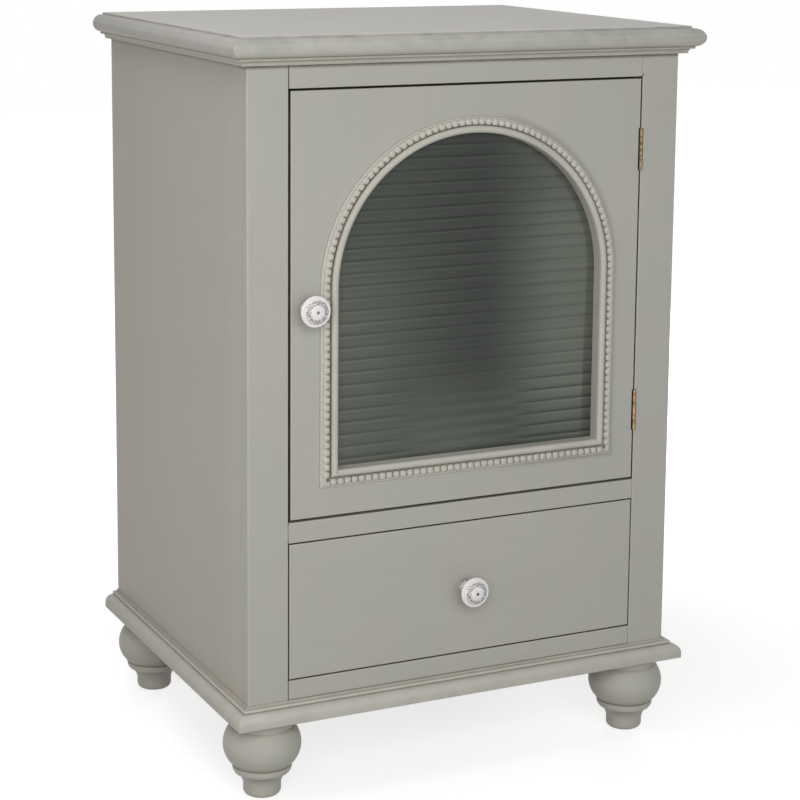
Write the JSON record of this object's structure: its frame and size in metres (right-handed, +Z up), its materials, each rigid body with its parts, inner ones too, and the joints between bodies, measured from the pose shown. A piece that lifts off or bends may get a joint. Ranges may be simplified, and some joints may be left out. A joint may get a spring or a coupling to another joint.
{
  "type": "bedside pot cupboard",
  "caption": "Painted bedside cupboard with an arched, beaded door of horizontally reeded glass over a drawer, moulded top and base, turned feet and round ceramic knobs.",
  "frame": {"origin": "on the floor, under the middle of the whole object, knobs and mouldings included", "axes": "+Z up, the door and the drawer face -Y, and +X is to the right of somebody who faces the door"},
  "size_m": [0.5, 0.4074, 0.732],
  "materials": {
    "painted_wood": "brushed grey paint with brown glaze in the grooves",
    "bare_wood": "bare planed wood",
    "reeded_glass": "reeded grey-green glass",
    "brass": "aged brass",
    "steel": "zinc plated steel",
    "knob_ceramic": "white glaze with a painted ring of grey flowers",
    "catch_plastic": "brown moulded plastic"
  },
  "bodies": {
    "carcass": {"side_panel_left": "painted_wood", "side_panel_right": "painted_wood", "back_panel": "painted_wood", "stile_left": "painted_wood", "stile_right": "painted_wood", "top_rail": "painted_wood", "middle_rail": "painted_wood", "bottom_rail": "painted_wood", "top_board": "painted_wood", "cornice_front": "painted_wood", "cornice_left": "painted_wood", "cornice_right": "painted_wood", "base_board": "painted_wood", "foot_front_left": "painted_wood", "foot_front_right": "painted_wood", "foot_back_left": "painted_wood", "foot_back_right": "painted_wood", "foot_bolts": "steel", "cupboard_floor": "painted_wood", "top_cleats": "bare_wood", "cleat_screws": "steel", "back_screws": "steel", "drawer_runner_left": "bare_wood", "drawer_runner_right": "bare_wood", "drawer_guide_left": "bare_wood", "drawer_guide_right": "bare_wood", "drawer_kickers": "bare_wood", "drawer_stops": "bare_wood", "upper_hinge_frame_leaf": "brass", "upper_hinge_pin": "brass", "lower_hinge_frame_leaf": "brass", "lower_hinge_pin": "brass", "hinge_frame_screws": "brass", "catch_body": "catch_plastic", "catch_screws": "steel"},
    "door": {"door_leaf": "painted_wood", "door_head": "painted_wood", "bead_arch": "painted_wood", "bead_left": "painted_wood", "bead_right": "painted_wood", "bead_bottom": "painted_wood", "reeded_glass": "reeded_glass", "glazing_stop_arch": "painted_wood", "glazing_stop_left": "painted_wood", "glazing_stop_right": "painted_wood", "glazing_stop_bottom": "painted_wood", "glazing_pins": "steel", "door_knob": "knob_ceramic", "door_knob_bolt": "steel", "upper_hinge_door_leaf": "brass", "lower_hinge_door_leaf": "brass", "hinge_door_screws": "brass", "catch_strike": "steel"},
    "drawer": {"drawer_front": "painted_wood", "drawer_side_left": "bare_wood", "drawer_side_right": "bare_wood", "drawer_back": "bare_wood", "drawer_bottom": "bare_wood", "drawer_knob": "knob_ceramic", "drawer_knob_bolt": "steel"}
  },
  "joints": [
    {"name": "door_swing", "type": "hinge", "parent": "carcass", "child": "door", "pos_m": [0.1882, -0.17865, 0.47895], "axis": [0, 0, 1], "range_deg": [0, 160]},
    {"name": "drawer_slide", "type": "slide", "parent": "carcass", "child": "drawer", "axis": [0, -1, 0], "range_m": [0, 0.24]}
  ]
}
